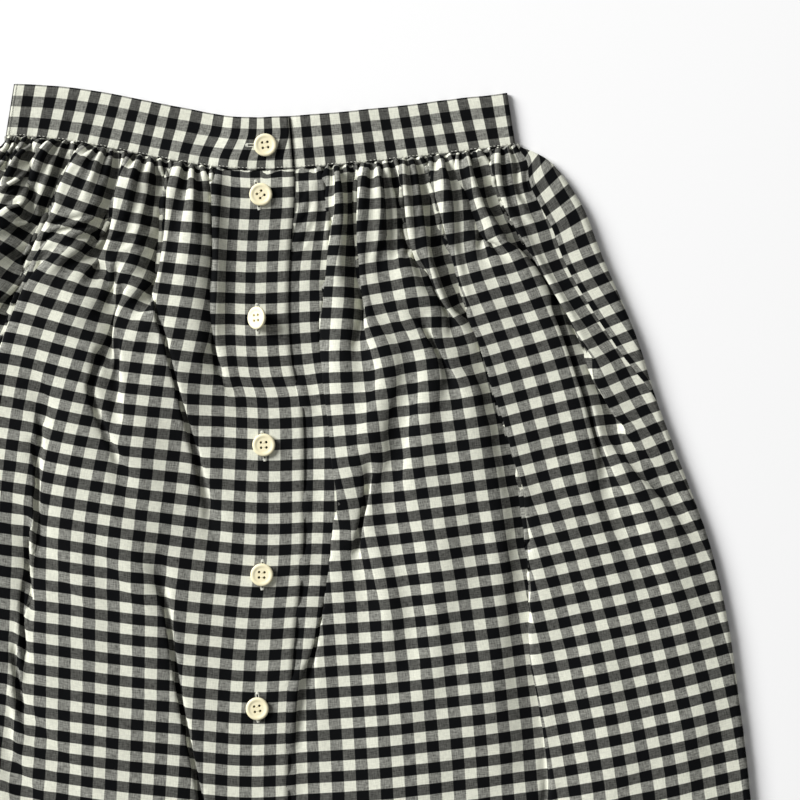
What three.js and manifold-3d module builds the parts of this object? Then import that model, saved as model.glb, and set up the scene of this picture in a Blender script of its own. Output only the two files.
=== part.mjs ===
// A gathered midi skirt that buttons all the way down the front, laid flat on its back.
// Millimetres. While it is built, x runs across from the centre front, "down" runs from the
// waist seam to the hem (minus y), and z = 0 is the surface that the skirt lies on.
import * as THREE from 'three';
import { mergeVertices } from 'three/addons/utils/BufferGeometryUtils.js';
import Module from 'manifold-3d';

const wasm = await Module();
wasm.setup();

// ---- cloth and layers ----
const CLOTH = 1.2;
const GAP = 0.3;
const SKIRT_LENGTH = 725;
const BAND_HEIGHT = 35;
const BAND_CLOTH = 2.0;
const BAND_HALF_WIDTH = 169;
const BAND_TOP_TAPER = 0.033;
const SEAM_RISE_LEFT = 22.5;
const SEAM_RISE_RIGHT = 16.5;
const UNDERLAP_REACH = -18;

// ---- gathers along the waist seam ----
const GATHERS_LEFT = 22;
const GATHERS_RIGHT = 21;
const GATHER_LIFT = 3.4;
const GATHER_LENGTH = 34;
const WIDE_GATHER_LIFT = 2.0;
const WIDE_GATHER_LENGTH = 95;
const BACK_GATHER_LIFT = 1.8;

// ---- buttons ----
const BUTTON_RADIUS = 7.6;
const BUTTON_THICK = 2.6;
const BUTTON_RIM_WIDTH = 1.7;
const BUTTON_DISH = 0.7;
const BUTTON_HOLE_RADIUS = 0.8;
const BUTTON_HOLE_OFFSET = 1.65;
const BUTTON_RIM_SLOPE = 0.9;
const BUTTON_SIDES = 20;
const BUTTON_HOLE_SIDES = 6;

// Half width of the laid skirt, by how far the edge is below the centre of the waist seam.
const OUTLINE = [
  { down: -23, half: 168 },
  { down: -16, half: 170 },
  { down: -7, half: 184 },
  { down: 7, half: 199 },
  { down: 20, half: 210 },
  { down: 33, half: 218.5 },
  { down: 59, half: 229.5 },
  { down: 86, half: 241 },
  { down: 112, half: 251.5 },
  { down: 152, half: 264 },
  { down: 191, half: 278.5 },
  { down: 231, half: 293.7 },
  { down: 257, half: 301.6 },
  { down: 297, half: 310.2 },
  { down: 337, half: 316 },
  { down: 403, half: 324 },
  { down: 520, half: 333 },
  { down: 700, half: 341 },
];

// Where the edge of the overlap lies, across from the centre front.
const OVERLAP_EDGE = [
  { down: -5, across: 22.5 },
  { down: 20, across: 23 },
  { down: 47, across: 21 },
  { down: 71, across: 19.8 },
  { down: 105, across: 19.8 },
  { down: 133, across: 22.5 },
  { down: 155, across: 28.5 },
  { down: 218, across: 29.8 },
  { down: 260, across: 29 },
  { down: 300, across: 24.8 },
  { down: 350, across: 21 },
  { down: 410, across: 19.2 },
  { down: 560, across: 20.5 },
  { down: 760, across: 20 },
];

// How far in from the outline each side seam shows, and how far the side stands up.
const SIDE_ROLL = [
  { down: -20, seamRight: 8, seamLeft: 8, height: 5.4 },
  { down: 10, seamRight: 24, seamLeft: 9, height: 7.0 },
  { down: 55, seamRight: 26, seamLeft: 9, height: 7.6 },
  { down: 100, seamRight: 20, seamLeft: 9, height: 7.4 },
  { down: 150, seamRight: 11, seamLeft: 9, height: 7.2 },
  { down: 260, seamRight: 9, seamLeft: 9, height: 6.8 },
  { down: 720, seamRight: 8, seamLeft: 8, height: 5.6 },
];

// The large folds of the front. Each follows a curve through three points; lift is up for a
// ridge and down for a valley; reach is its half width.
const FOLDS = [
  { lift: -7, reach: 7, across: [49, 42, 49], down: [16, 99, 218] },
  { lift: -5, reach: 8, across: [49, 45, 37], down: [205, 257, 317] },
  { lift: 5, reach: 17, across: [78, 81, 72], down: [1, 40, 118] },
  { lift: -6, reach: 12, across: [103, 115, 134], down: [1, 46, 86] },
  { lift: 5, reach: 9, across: [119, 126, 140], down: [1, 36, 84] },
  { lift: 6, reach: 15, across: [136, 148, 171], down: [72, 142, 250] },
  { lift: 5, reach: 16, across: [170, 175, 185], down: [240, 337, 420] },
  { lift: -4, reach: 12, across: [155, 165, 189], down: [90, 160, 262] },
  { lift: 5, reach: 9, across: [138, 162, 185], down: [-3, 36, 84] },
  { lift: -6, reach: 8, across: [147, 173, 203], down: [-3, 43, 100] },
  { lift: 4, reach: 13, across: [160, 198, 226], down: [-3, 53, 130] },
  { lift: -4, reach: 8, across: [198, 218, 227], down: [102, 148, 218] },
  { lift: 4, reach: 14, across: [60, 64, 52], down: [126, 175, 260] },
  { lift: -3, reach: 9, across: [84, 80, 62], down: [125, 165, 205] },
  { lift: 4, reach: 22, across: [105, 112, 120], down: [110, 200, 330] },
  { lift: 5, reach: 24, across: [90, 96, 100], down: [400, 530, 700] },
  { lift: -3, reach: 22, across: [140, 150, 152], down: [380, 520, 700] },
  { lift: 4.5, reach: 26, across: [230, 244, 250], down: [300, 480, 690] },
  { lift: 5, reach: 12, across: [-49, -40, -25], down: [-1, 33, 112] },
  { lift: -5, reach: 7, across: [-31, -26, -22], down: [1, 46, 118] },
  { lift: -4, reach: 8, across: [-58, -62, -67], down: [0, 40, 90] },
  { lift: 4, reach: 8, across: [-68, -78, -98], down: [0, 26, 70] },
  { lift: -5, reach: 8, across: [-78, -88, -103], down: [3, 30, 66] },
  { lift: 6, reach: 15, across: [-103, -126, -158], down: [-3, 28, 116] },
  { lift: -7, reach: 10, across: [-131, -151, -186], down: [-3, 43, 116] },
  { lift: 5, reach: 8, across: [-142, -140, -158], down: [-13, 20, 60] },
  { lift: -4, reach: 7, across: [-103, -96, -94], down: [76, 106, 148] },
  { lift: 4, reach: 14, across: [-122, -116, -120], down: [90, 150, 240] },
  { lift: -3, reach: 10, across: [-68, -58, -34], down: [86, 165, 238] },
  { lift: 4, reach: 18, across: [-84, -80, -60], down: [150, 250, 360] },
  { lift: -3, reach: 9, across: [-64, -55, -38], down: [277, 337, 409] },
  { lift: 4, reach: 16, across: [-180, -205, -222], down: [-3, 60, 170] },
  { lift: -4, reach: 20, across: [-190, -206, -214], down: [170, 330, 520] },
  { lift: 5, reach: 26, across: [-110, -118, -124], down: [390, 520, 700] },
];

// Rows of the panels, by distance down from the waist seam.
const GATHERED_ROWS = [0.6, 5, 13, 24, 38, 58];
const LOWER_ROWS = [80, 104, 132, 164, 200, 240, 284, 330, 380, 434, 492, 552, 612, 670, 725];

const BUTTONS = [
  { name: 'button_1', across: 3.6, down: -16.5, turn: 8, lean: 0 },
  { name: 'button_2', across: 0.7, down: 16.2, turn: 38, lean: 0 },
  { name: 'button_3', across: -0.8, down: 97.7, turn: 4, lean: -38 },
  { name: 'button_4', across: 2.6, down: 181.5, turn: 3, lean: 0 },
  { name: 'button_5', across: 1.3, down: 267.3, turn: -2, lean: 0 },
  { name: 'button_6', across: -1.7, down: 355.7, turn: 9, lean: 0 },
  { name: 'button_7', across: 0.4, down: 441, turn: 12, lean: 0 },
  { name: 'button_8', across: 0.8, down: 526, turn: -9, lean: 0 },
  { name: 'button_9', across: -0.5, down: 611, turn: 3, lean: 0 },
];

const CHECK_CLOTH = { color: 0x77777a, roughness: 0.92, metalness: 0 };
const BAND_COLOUR = { color: 0x6f6f72, roughness: 0.92, metalness: 0 };
const BUTTON_COLOUR = { color: 0xefe8c6, roughness: 0.38, metalness: 0 };

// ---- small helpers ----
function smoothStep(from, to, value) {
  const t = Math.min(1, Math.max(0, (value - from) / (to - from)));
  return t * t * (3 - 2 * t);
}

function mix(a, b, t) {
  return a + (b - a) * t;
}

// A smooth curve through one column of a table, by its "down" column.
function fromTable(table, column, down) {
  const last = table.length - 1;
  if (down <= table[0].down) return table[0][column];
  if (down >= table[last].down) return table[last][column];
  let i = 0;
  while (table[i + 1].down < down) i += 1;
  const before = table[Math.max(0, i - 1)];
  const after = table[Math.min(last, i + 2)];
  const p = table[i];
  const q = table[i + 1];
  const span = q.down - p.down;
  const slopeIn = (q[column] - before[column]) / (q.down - before.down);
  const slopeOut = (after[column] - p[column]) / (after.down - p.down);
  const t = (down - p.down) / span;
  const hermiteA = (1 + 2 * t) * (1 - t) * (1 - t);
  const hermiteB = t * (1 - t) * (1 - t);
  const hermiteC = t * t * (3 - 2 * t);
  const hermiteD = t * t * (t - 1);
  return hermiteA * p[column] + hermiteB * span * slopeIn
    + hermiteC * q[column] + hermiteD * span * slopeOut;
}

// ---- the laid outline ----
function seamRise(across) {
  const t = Math.min(1, Math.abs(across) / BAND_HALF_WIDTH);
  if (across < 0) return SEAM_RISE_LEFT * smoothStep(0, 1, t);
  return SEAM_RISE_RIGHT * t ** 1.35;
}

function seamPoint(across) {
  return { x: across, y: seamRise(across) };
}

// Cloth keeps its length, so rows are counted along the curved side edge of the skirt.
function sideTrack(side) {
  const track = [{ down: -seamRise(side * BAND_HALF_WIDTH), row: 0 }];
  for (let down = track[0].down + 1; down < SKIRT_LENGTH + 40; down += 1) {
    const slope = fromTable(OUTLINE, 'half', down) - fromTable(OUTLINE, 'half', down - 1);
    track.push({ down, row: track[track.length - 1].row + Math.hypot(1, slope) });
  }
  return track;
}

const SIDE_TRACKS = { '-1': sideTrack(-1), 1: sideTrack(1) };

// How far below the centre of the waist seam the side edge is, on a row.
function sideDown(row, side) {
  const track = SIDE_TRACKS[side];
  let i = 1;
  while (i < track.length - 1 && track[i].row < row) i += 1;
  const t = (row - track[i - 1].row) / (track[i].row - track[i - 1].row);
  return mix(track[i - 1].down, track[i].down, t);
}

function rowRise(row, side, along) {
  const top = seamRise(side * along * BAND_HALF_WIDTH);
  const gained = row - sideDown(row, side) - seamRise(side * BAND_HALF_WIDTH);
  return top + gained * along ** 2.2;
}

// A point of the laid skirt: row distance down from the seam, and place across (-1 to 1).
function panelPoint(row, place) {
  const side = Math.sign(place) || 1;
  const along = Math.abs(place);
  const half = fromTable(OUTLINE, 'half', sideDown(row, side));
  const spread = (half - BAND_HALF_WIDTH) * along ** 1.5;
  return {
    x: side * (BAND_HALF_WIDTH * along + spread),
    y: -row + rowRise(row, side, along),
  };
}

// The place across (-1 to 1) that lies at a given x on a row.
function placeAt(row, x) {
  let low = -1;
  let high = 1;
  for (let step = 0; step < 40; step += 1) {
    const middle = (low + high) / 2;
    if (panelPoint(row, middle).x < x) low = middle;
    else high = middle;
  }
  return (low + high) / 2;
}

// ---- relief of the front ----
function foldCurve(fold, down) {
  const [x1, x2, x3] = fold.across;
  const [d1, d2, d3] = fold.down;
  const a = (down - d2) * (down - d3) / ((d1 - d2) * (d1 - d3));
  const b = (down - d1) * (down - d3) / ((d2 - d1) * (d2 - d3));
  const c = (down - d1) * (down - d2) / ((d3 - d1) * (d3 - d2));
  return a * x1 + b * x2 + c * x3;
}

function foldLift(fold, x, down) {
  const [start, , end] = fold.down;
  const length = end - start;
  const fade = 0.22 * length;
  if (down < start - fade || down > end + fade) return 0;
  const rise = start < 6 ? 1 : smoothStep(start - fade, start + fade, down);
  const fall = 1 - smoothStep(end - fade, end + fade, down);
  const off = (x - foldCurve(fold, Math.min(end + fade, Math.max(start - fade, down)))) / fold.reach;
  return fold.lift * rise * fall * Math.exp(-off * off);
}

function puff(down) {
  return 2.6 + 3.4 * Math.exp(-(((down - 34) / 95) ** 2));
}

function foldRelief(x, y) {
  const down = -y;
  let lift = puff(down);
  for (const fold of FOLDS) {
    lift += foldLift(fold, x, down);
  }
  const seamPinch = 0.25 + 0.75 * smoothStep(0, 26, down + seamRise(x));
  return Math.max(0.2, lift * seamPinch);
}

// Small gathers stand on every second column, and wider ones on every fourth.
function unevenness(column) {
  return 1 + 0.35 * Math.sin(column * 1.7) + 0.2 * Math.sin(column * 0.61 + 1);
}

function gatherLift(column, row) {
  const fine = column % 2 === 0 ? GATHER_LIFT * Math.exp(-row / GATHER_LENGTH) : 0;
  const wide = column % 4 === 0 ? WIDE_GATHER_LIFT * Math.exp(-row / WIDE_GATHER_LENGTH) : 0;
  return (fine + wide) * unevenness(column);
}

function backGather(column, row) {
  const fine = column % 2 === 0 ? Math.exp(-row / GATHER_LENGTH) : 0;
  const wide = column % 4 === 2 ? 0.7 * Math.exp(-row / WIDE_GATHER_LENGTH) : 0;
  const fades = 1 - smoothStep(130, 200, row);
  return BACK_GATHER_LIFT * fades * (fine + wide) * unevenness(column + 9);
}

function backGatherEnvelope(row) {
  let highest = 0;
  for (let column = LAP_START; column <= LAP_END; column += 1) {
    highest = Math.max(highest, backGather(column, row));
  }
  return highest;
}

// ---- shared columns ----
// Zones from left to right. Gathered zones have two columns to a gather in the upper rows and
// half as many below; all layers share these columns.
const LAP_COLUMNS = 4;
const LEFT_COLUMNS = GATHERS_LEFT * 2;
const RIGHT_COLUMNS = GATHERS_RIGHT * 2;
const FIRST = 0;
const LAP_START = FIRST + LEFT_COLUMNS;
const LAP_END = LAP_START + LAP_COLUMNS;
const LAST = LAP_END + RIGHT_COLUMNS;

function rowSettings(row) {
  const downLeft = sideDown(row, -1);
  const downRight = sideDown(row, 1);
  const left = panelPoint(row, -1).x;
  const right = panelPoint(row, 1).x;
  return {
    row,
    left,
    right,
    seamLeft: left + fromTable(SIDE_ROLL, 'seamLeft', downLeft),
    seamRight: right - fromTable(SIDE_ROLL, 'seamRight', downRight),
    heightLeft: fromTable(SIDE_ROLL, 'height', downLeft),
    heightRight: fromTable(SIDE_ROLL, 'height', downRight),
    lapEdge: fromTable(OVERLAP_EDGE, 'across', row),
  };
}

// Plan position of a shared column on a row.
function columnPoint(settings, column) {
  const { row } = settings;
  const marks = [
    { column: FIRST, x: settings.seamLeft },
    { column: LAP_START, x: UNDERLAP_REACH },
    { column: LAP_END, x: settings.lapEdge },
    { column: LAST, x: settings.seamRight },
  ];
  let i = 0;
  while (i < 2 && column > marks[i + 1].column) i += 1;
  const from = placeAt(row, marks[i].x);
  const to = placeAt(row, marks[i + 1].x);
  const t = (column - marks[i].column) / (marks[i + 1].column - marks[i].column);
  return panelPoint(row, mix(from, to, t));
}

// ---- heights of the layers at a shared column ----
function backFloor(settings, column) {
  return column > FIRST && column < LAST ? backGather(column, settings.row) : 0;
}

// The laps lie flat over the gathers of the back.
function lapRest(settings) {
  return backGatherEnvelope(settings.row) + CLOTH + GAP;
}

function edgeBlend(settings, x) {
  const left = smoothStep(0, 22, x - settings.seamLeft);
  const right = smoothStep(0, 22, settings.seamRight - x);
  return left * right;
}

function edgeLift(settings, x) {
  const height = x < 0 ? settings.heightLeft : settings.heightRight;
  return height - 2 * CLOTH - GAP;
}

function underlapFlatness(settings, x) {
  return smoothStep(settings.lapEdge + 2, settings.lapEdge + 14, x);
}

// Underside of the front layer that lies next to the back.
function innerFloor(settings, column) {
  const { x, y } = columnPoint(settings, column);
  const inLap = column >= LAP_START && column <= LAP_END;
  const overBack = inLap ? lapRest(settings) : backFloor(settings, column) + CLOTH + GAP;
  const gathers = inLap ? 0 : gatherLift(column, settings.row);
  const free = foldRelief(x, y) + gathers;
  const blend = edgeBlend(settings, x);
  const shaped = mix(edgeLift(settings, x), free, blend);
  const lapLift = 0.8 + 0.6 * smoothStep(0, 60, settings.row);
  if (x < UNDERLAP_REACH - 1) return overBack + shaped;
  return overBack + mix(lapLift, shaped, underlapFlatness(settings, x));
}

// Underside of the overlap where it lies on the underlap.
function overlapFloor(settings, column) {
  return innerFloor(settings, column) + CLOTH + GAP;
}

// ---- walls built from rows of points ----
// A row is a list of stations { key, outer, inner }. The next row has the same keys or leaves
// some out, and the faces between them close up either way.
function closedWall(rows) {
  const positions = [];
  const faces = [];
  const numbered = rows.map((stations) => stations.map((station) => {
    positions.push(station.outer, station.inner);
    return { key: station.key, outer: positions.length - 2, inner: positions.length - 1 };
  }));
  const both = (a, b, c) => {
    faces.push([a.outer, b.outer, c.outer]);
    faces.push([a.inner, c.inner, b.inner]);
  };
  for (let r = 0; r + 1 < numbered.length; r += 1) {
    const upper = numbered[r];
    const lower = numbered[r + 1];
    let j = 0;
    for (let i = 0; i + 1 < lower.length; i += 1) {
      const end = upper.findIndex((station) => station.key === lower[i + 1].key);
      const half = j + Math.ceil((end - j) / 2);
      for (; j < half; j += 1) both(upper[j], lower[i], upper[j + 1]);
      both(upper[half], lower[i], lower[i + 1]);
      for (; j < end; j += 1) both(upper[j], lower[i + 1], upper[j + 1]);
    }
  }
  const rim = (a, b) => {
    faces.push([a.outer, a.inner, b.inner]);
    faces.push([a.outer, b.inner, b.outer]);
  };
  const first = numbered[0];
  const last = numbered[numbered.length - 1];
  for (let i = 0; i + 1 < first.length; i += 1) rim(first[i + 1], first[i]);
  for (let i = 0; i + 1 < last.length; i += 1) rim(last[i], last[i + 1]);
  for (let r = 0; r + 1 < numbered.length; r += 1) {
    const here = numbered[r];
    const next = numbered[r + 1];
    rim(here[0], next[0]);
    rim(next[next.length - 1], here[here.length - 1]);
  }
  return solidGeometry(positions, faces);
}

function signedVolume(positions, faces) {
  let six = 0;
  for (const [a, b, c] of faces) {
    const [p, q, r] = [positions[a], positions[b], positions[c]];
    six += p[0] * (q[1] * r[2] - q[2] * r[1]) + p[1] * (q[2] * r[0] - q[0] * r[2])
      + p[2] * (q[0] * r[1] - q[1] * r[0]);
  }
  return six;
}

function solidGeometry(positions, faces) {
  const inward = signedVolume(positions, faces) < 0;
  const index = faces.flatMap(([a, b, c]) => (inward ? [a, c, b] : [a, b, c]));
  const geometry = new THREE.BufferGeometry();
  geometry.setAttribute('position', new THREE.Float32BufferAttribute(positions.flat(), 3));
  geometry.setIndex(index);
  geometry.computeVertexNormals();
  return geometry;
}

function addPiece(group, name, geometry, finish) {
  const mesh = new THREE.Mesh(geometry, new THREE.MeshStandardMaterial(finish));
  mesh.name = name;
  group.add(mesh);
  return mesh;
}

// ---- panels ----
function keptColumns(row, from, to) {
  const gathered = row < LOWER_ROWS[0];
  const keys = [];
  for (let key = from; key <= to; key += 1) {
    if (gathered || (key - from) % 2 === 0) keys.push(key);
  }
  return keys;
}

function panelRows(from, to, stationsOf) {
  return [...GATHERED_ROWS, ...LOWER_ROWS].map((row) => {
    const settings = rowSettings(row);
    return stationsOf(settings, keptColumns(row, from, to));
  });
}

function layerStation(key, point, floor) {
  return {
    key,
    outer: [point.x, point.y, floor + CLOTH],
    inner: [point.x, point.y, floor],
  };
}

function underlapPanel() {
  return closedWall(panelRows(LAP_START, LAST, (settings, keys) => keys.map((key) => (
    layerStation(key, columnPoint(settings, key), innerFloor(settings, key))
  ))));
}

function overlapPanel() {
  return closedWall(panelRows(FIRST, LAP_END, (settings, keys) => keys.map((key) => {
    const floor = key >= LAP_START ? overlapFloor(settings, key) : innerFloor(settings, key);
    return layerStation(key, columnPoint(settings, key), floor);
  })));
}

// The back runs under both fronts, turns up round each side and ends at the side seams.
function sideTurn(settings, side) {
  const height = side < 0 ? settings.heightLeft : settings.heightRight;
  const edge = side < 0 ? settings.left : settings.right;
  const seam = side < 0 ? settings.seamLeft : settings.seamRight;
  const radius = height / 2;
  const centre = edge - side * radius;
  const y = panelPoint(settings.row, side).y;
  const stations = [];
  for (const angle of [-90, -54, -18, 18, 54, 90]) {
    const a = THREE.MathUtils.degToRad(angle);
    const at = (r) => [centre + side * r * Math.cos(a), y, radius + r * Math.sin(a)];
    stations.push({ key: `${side}turn${angle}`, outer: at(radius), inner: at(radius - CLOTH) });
  }
  const seamY = columnPoint(settings, side < 0 ? FIRST : LAST).y;
  for (const t of [0.5, 1]) {
    const x = mix(centre, seam + side * GAP, t);
    const lie = mix(y, seamY, t);
    stations.push({
      key: `${side}return${t}`,
      outer: [x, lie, height],
      inner: [x, lie, height - CLOTH],
    });
  }
  return stations;
}

function backPanel() {
  return closedWall(panelRows(FIRST, LAST, (settings, keys) => {
    const middle = keys.map((key) => {
      const point = columnPoint(settings, key);
      const floor = backFloor(settings, key);
      return {
        key,
        outer: [point.x, point.y, floor],
        inner: [point.x, point.y, floor + CLOTH],
      };
    });
    return [...sideTurn(settings, -1).reverse(), ...middle, ...sideTurn(settings, 1)];
  }));
}

// ---- waistband ----
// The strip starts at the underlap end, runs out to the right, round the back and round to the
// overlap end. Each station gives its place across and the heights of its two faces.
function bandStations() {
  const floor = BAND_CLOTH + GAP;
  const upperFloor = 2 * BAND_CLOTH + 2 * GAP;
  const height = 2 * BAND_CLOTH + GAP;
  const radius = height / 2;
  const reach = BAND_HALF_WIDTH - radius;
  const stations = [];
  const flat = (x, outer, inner) => stations.push({ outer: [x, outer], inner: [x, inner] });
  const run = (from, to, count, outer, inner) => {
    for (let i = 0; i <= count; i += 1) flat(mix(from, to, i / count), outer, inner);
  };
  run(UNDERLAP_REACH, 154, 11, floor + BAND_CLOTH, floor);
  const turn = (side, angles) => {
    for (const angle of angles) {
      const a = THREE.MathUtils.degToRad(angle);
      const at = (r) => [side * (reach + r * Math.cos(a)), radius + r * Math.sin(a)];
      stations.push({ outer: at(radius), inner: at(radius - BAND_CLOTH) });
    }
  };
  turn(1, [90, 54, 18, -18, -54, -90]);
  run(153, -153, 18, 0, BAND_CLOTH);
  turn(-1, [-90, -54, -18, 18, 54, 90]);
  run(-154, -38, 7, floor + BAND_CLOTH, floor);
  run(UNDERLAP_REACH - 2, 21, 3, upperFloor + BAND_CLOTH, upperFloor);
  return stations;
}

function bandPoint([x, z], up) {
  const narrowed = x * (1 - BAND_TOP_TAPER * up);
  return [narrowed, seamPoint(x).y + BAND_HEIGHT * up, z];
}

function waistband() {
  const rows = [1, 0.66, 0.33, 0].map((up) => bandStations().map((station, key) => ({
    key,
    outer: bandPoint(station.outer, up),
    inner: bandPoint(station.inner, up),
  })));
  return closedWall(rows);
}

// ---- buttons ----
// A three.js geometry as a solid that can be cut.
function solidOf(geometry) {
  geometry.deleteAttribute('normal');
  geometry.deleteAttribute('uv');
  const merged = mergeVertices(geometry, 1e-4);
  const index = Array.from(merged.index.array);
  const triVerts = [];
  for (let i = 0; i < index.length; i += 3) {
    const [a, b, c] = index.slice(i, i + 3);
    if (a !== b && b !== c && c !== a) triVerts.push(a, b, c);
  }
  return new wasm.Manifold(new wasm.Mesh({
    numProp: 3,
    vertProperties: new Float32Array(merged.attributes.position.array),
    triVerts: new Uint32Array(triVerts),
  }));
}

function geometryOf(solid) {
  const mesh = solid.getMesh();
  const geometry = new THREE.BufferGeometry();
  geometry.setAttribute('position', new THREE.Float32BufferAttribute(mesh.vertProperties, mesh.numProp));
  geometry.setIndex(Array.from(mesh.triVerts));
  geometry.computeVertexNormals();
  return geometry;
}

// A round button with a raised rim and four sewing holes, lying with its axis along z.
function buttonGeometry() {
  const dish = BUTTON_THICK - BUTTON_DISH;
  const rimInner = BUTTON_RADIUS - BUTTON_RIM_WIDTH;
  const profile = [
    [0, 0],
    [BUTTON_RADIUS - 1, 0],
    [BUTTON_RADIUS, BUTTON_THICK * 0.45],
    [BUTTON_RADIUS - 0.5, BUTTON_THICK],
    [rimInner, BUTTON_THICK],
    [rimInner - BUTTON_RIM_SLOPE, dish],
    [0, dish],
  ].map(([radius, height]) => new THREE.Vector2(radius, height));
  const lathe = new THREE.LatheGeometry(profile, BUTTON_SIDES).rotateX(Math.PI / 2);
  let body = solidOf(lathe);
  for (const [sx, sy] of [[-1, -1], [1, -1], [1, 1], [-1, 1]]) {
    const hole = new THREE.CylinderGeometry(
      BUTTON_HOLE_RADIUS, BUTTON_HOLE_RADIUS, BUTTON_THICK * 4, BUTTON_HOLE_SIDES,
    );
    hole.rotateX(Math.PI / 2).translate(sx * BUTTON_HOLE_OFFSET, sy * BUTTON_HOLE_OFFSET, 0);
    body = body.subtract(solidOf(hole));
  }
  return geometryOf(body);
}

// Height of the top of the overlap panel above the lying surface.
function lapTop(across, down) {
  const settings = rowSettings(Math.max(GATHERED_ROWS[0], down));
  const t = (across - UNDERLAP_REACH) / (settings.lapEdge - UNDERLAP_REACH);
  const key = LAP_START + Math.min(LAP_COLUMNS, Math.max(0, t * LAP_COLUMNS));
  return overlapFloor(settings, key) + CLOTH;
}

function seatHeight(button) {
  if (button.down < 0) return 3 * BAND_CLOTH + 2 * GAP;
  let top = 0;
  for (let dx = -1; dx <= 1; dx += 1) {
    for (let dy = -1; dy <= 1; dy += 1) {
      const reach = BUTTON_RADIUS + 1;
      top = Math.max(top, lapTop(button.across + dx * reach, button.down + dy * reach));
    }
  }
  return top;
}

function addButton(group, button, geometry) {
  const lean = THREE.MathUtils.degToRad(button.lean);
  const rise = Math.abs(Math.sin(lean)) * (BUTTON_RADIUS - 1);
  const mesh = addPiece(group, button.name, geometry, BUTTON_COLOUR);
  mesh.rotation.set(0, lean, THREE.MathUtils.degToRad(button.turn));
  mesh.position.set(button.across, -button.down, seatHeight(button) + GAP + rise);
}

// ---- the whole skirt ----
function buildSkirt() {
  const skirt = new THREE.Group();
  skirt.name = 'button_front_midi_skirt';
  addPiece(skirt, 'back_panel', backPanel(), CHECK_CLOTH);
  addPiece(skirt, 'front_panel_underlap', underlapPanel(), CHECK_CLOTH);
  addPiece(skirt, 'front_panel_overlap', overlapPanel(), CHECK_CLOTH);
  addPiece(skirt, 'waistband', waistband(), BAND_COLOUR);
  const round = buttonGeometry();
  for (const button of BUTTONS) {
    addButton(skirt, button, round);
  }
  const middle = new THREE.Box3().setFromObject(skirt).getCenter(new THREE.Vector3());
  skirt.position.set(-middle.x, -middle.y, 0);
  return skirt;
}

export default buildSkirt();
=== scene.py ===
# The dressed skirt: thin cloth shells with folds, gingham weave, stitching, buttons, camera and light.
import math
import bpy
import numpy as np
from mathutils import Matrix, Vector


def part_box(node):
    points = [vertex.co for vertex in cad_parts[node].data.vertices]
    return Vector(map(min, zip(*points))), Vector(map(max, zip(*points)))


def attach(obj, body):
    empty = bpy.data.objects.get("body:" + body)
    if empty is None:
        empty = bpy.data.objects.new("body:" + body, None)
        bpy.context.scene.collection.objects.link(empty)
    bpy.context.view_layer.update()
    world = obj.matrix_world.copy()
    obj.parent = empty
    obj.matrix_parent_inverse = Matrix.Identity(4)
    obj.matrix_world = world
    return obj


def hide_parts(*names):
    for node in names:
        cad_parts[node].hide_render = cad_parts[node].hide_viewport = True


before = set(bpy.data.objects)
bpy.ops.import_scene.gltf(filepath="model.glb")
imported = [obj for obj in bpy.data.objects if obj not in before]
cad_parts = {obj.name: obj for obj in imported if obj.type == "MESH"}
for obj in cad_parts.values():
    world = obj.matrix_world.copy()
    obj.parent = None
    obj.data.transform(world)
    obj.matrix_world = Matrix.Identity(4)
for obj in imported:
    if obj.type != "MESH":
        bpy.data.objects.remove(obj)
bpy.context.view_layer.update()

# Working units are millimetres from the centre front at the waist seam: x across, y up towards
# the waist, z off the floor. SHIFT_Y carries them into the frame.
MM = 0.001
BAND_TOP_CORNER = 57.5
SHIFT_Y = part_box("waistband")[1][1] / MM - BAND_TOP_CORNER

SKIRT_LENGTH = 725.0
BAND_HALF = 169.0
BAND_HEIGHT = 35.0
BAND_TAPER = 0.033
LAP = 26.0
UNDERLAP_END = -18.0
OVERLAP_END = -22.5
PANEL_HALF = 346.0
PANEL_COLUMNS = 149
LAP_COLUMNS = 11
GATHER = 14.4
SEAM_RISE_LEFT = 22.5
SEAM_RISE_RIGHT = 16.5
SIDE_BLEND = 34.0
PINNED = 20.0
CEILING = 17.5
RELAX_STEPS = 300
SMOOTHING_PASSES = 40
SHELL = 0.45
BACK_COLUMNS = 260
BACK_GATHERS = 48
BACK_WIDE_GATHERS = 13
BACK_WIDTH = 2 * PANEL_HALF + 14
SIDE_COLUMNS = 13
SEAM_GAP = 0.25
HEM_DEPTH = 17.0
BUTTONHOLE_HALF = 8.6
STITCH_FACES = 22

# The gingham: repeat across and down, share of dark yarn, softness of a stripe's edge, and two yarns.
CHECK_ACROSS = 16.0
CHECK_DOWN = 13.95
BAND_CHECK_ACROSS = 13.6
DARK_SHARE = 0.51
STRIPE_EDGE = 0.012
YARN_PAIR = 0.42

# Stations round the waistband: underlap, turn, back, turn, overlapping front and its lap.
UNDER_STATIONS = 78
TURN_STATIONS = 11
BACK_STATIONS = 110
OVER_STATIONS = 56
LAP_STATIONS = 30
BAND_FACE = slice(0, 60)

# The picture: millimetres a pixel, and the pixels from its middle to the centre front and waist seam.
PIXEL = 0.66
PICTURE = 800
PICTURE_ACROSS = 140
PICTURE_DOWN = 230

OUTLINE = np.array([
    (-23, 168), (-16, 170), (-7, 184), (7, 199), (20, 210), (33, 218.5), (59, 229.5), (86, 241),
    (112, 251.5), (152, 264), (191, 278.5), (231, 293.7), (257, 301.6), (297, 310.2), (337, 316),
    (403, 324), (520, 333), (700, 341), (760, 341)], float)
LAP_SHIFT = np.array([
    (-5, 0), (20, 0.5), (47, -1.5), (71, -2.7), (105, -2.7), (133, 0), (155, 6), (218, 7.3),
    (260, 6.5), (300, 2.3), (350, -1.5), (410, -3.3), (560, -2), (760, -2.5)], float)
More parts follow.
